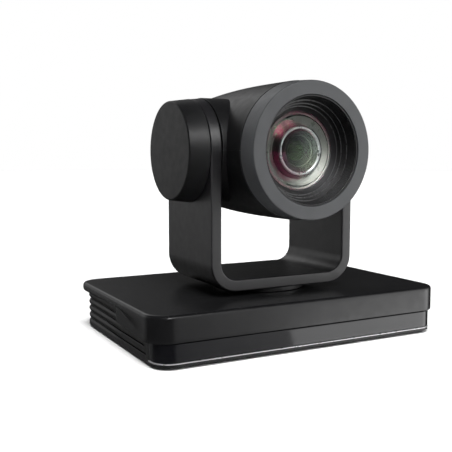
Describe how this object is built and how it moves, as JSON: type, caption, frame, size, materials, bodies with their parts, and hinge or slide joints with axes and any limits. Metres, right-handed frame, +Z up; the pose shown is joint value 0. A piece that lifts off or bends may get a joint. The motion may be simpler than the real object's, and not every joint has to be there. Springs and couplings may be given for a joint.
{
  "type": "ptz camera",
  "caption": "Motorised pan-tilt-zoom camera: a barrel head tilts between the arms of a U-shaped yoke that pans on a wide flat base with cooling grooves and rear sockets.",
  "frame": {"origin": "middle of the base, at the surface that its feet stand on", "axes": "+Z up; the lens looks along -Y at rest; +X to the right of a viewer who faces the lens"},
  "size_m": [0.242, 0.16, 0.1905],
  "materials": {
    "black_plastic": "satin moulded black, fine grain",
    "socket_plastic": "moulded black",
    "smoked_panel": "polished smoked acrylic",
    "bright_trim": "satin chrome",
    "grey_ring": "satin dark grey paint",
    "dark_metal": "black coated sheet",
    "matte_black": "matte black",
    "rubber": "matte",
    "steel": "plain",
    "silver_ring": "turned, bright",
    "board": "solder mask",
    "sensor": "polished",
    "nylon": "natural",
    "lens_glass": "coated optical glass"
  },
  "bodies": {
    "base": {"lower_housing": "black_plastic", "bottom_plate": "dark_metal", "top_cover": "black_plastic", "ir_window": "smoked_panel", "trim_strip": "bright_trim", "rear_panel": "dark_metal", "power_jack": "socket_plastic", "network_port": "steel", "usb_port": "steel", "hdmi_port": "steel", "serial_port_in": "socket_plastic", "serial_port_out": "socket_plastic", "audio_jack": "socket_plastic", "main_board": "board", "ir_receiver_board": "board", "tripod_insert": "steel", "foot_1": "rubber", "foot_2": "rubber", "foot_3": "rubber", "foot_4": "rubber", "base_screw_1": "steel", "base_screw_2": "steel", "base_screw_3": "steel", "base_screw_4": "steel", "pan_motor": "steel", "pan_bearing": "steel"},
    "pan_drive": {"pan_pinion": "nylon"},
    "yoke": {"yoke_frame": "black_plastic", "turntable_disc": "matte_black", "pan_shaft": "steel", "pan_gear": "nylon", "drum_cap_left": "black_plastic", "drum_cap_right": "black_plastic", "tilt_motor": "steel", "tilt_bearing_left": "steel", "tilt_bearing_right": "steel"},
    "tilt_drive": {"tilt_pinion": "nylon"},
    "head": {"head_upper_shell": "black_plastic", "head_lower_shell": "black_plastic", "front_bezel": "grey_ring", "rear_cover": "black_plastic", "tilt_axle_left": "steel", "tilt_axle_right": "steel", "tilt_gear": "nylon", "lens_hood": "matte_black", "front_lens": "lens_glass", "lens_cell": "matte_black", "retainer_ring": "silver_ring", "second_lens": "lens_glass", "third_lens": "lens_glass", "lens_housing": "dark_metal", "image_sensor": "sensor", "camera_board": "board", "guide_rod_upper": "steel", "guide_rod_lower": "steel"},
    "zoom_group": {"zoom_carrier": "matte_black", "zoom_lens": "lens_glass"},
    "focus_group": {"focus_carrier": "matte_black", "focus_lens": "lens_glass"}
  },
  "joints": [
    {"name": "pan", "type": "hinge", "parent": "base", "child": "yoke", "pos_m": [0, -0.006, 0.038], "axis": [0, 0, 1], "range_deg": [-170, 170]},
    {"name": "tilt", "type": "hinge", "parent": "yoke", "child": "head", "pos_m": [0, -0.006, 0.1408], "axis": [-1, 0, 0], "range_deg": [-30, 90]},
    {"name": "pan_pinion_spin", "type": "hinge", "parent": "base", "child": "pan_drive", "pos_m": [0.03, -0.006, 0.0235], "axis": [0, 0, 1], "range_deg": [-690, 690]},
    {"name": "tilt_pinion_spin", "type": "hinge", "parent": "yoke", "child": "tilt_drive", "pos_m": [-0.06375, -0.006, 0.1178], "axis": [-1, 0, 0], "range_deg": [-370, 130]},
    {"name": "zoom", "type": "slide", "parent": "head", "child": "zoom_group", "axis": [0, 1, 0], "range_m": [0, 0.018]},
    {"name": "focus", "type": "slide", "parent": "head", "child": "focus_group", "axis": [0, 1, 0], "range_m": [-0.004, 0.004]}
  ],
  "couplings": [
    {"joint": "pan_pinion_spin", "follows": "pan", "ratio": -4},
    {"joint": "tilt_pinion_spin", "follows": "tilt", "ratio": -4}
  ]
}
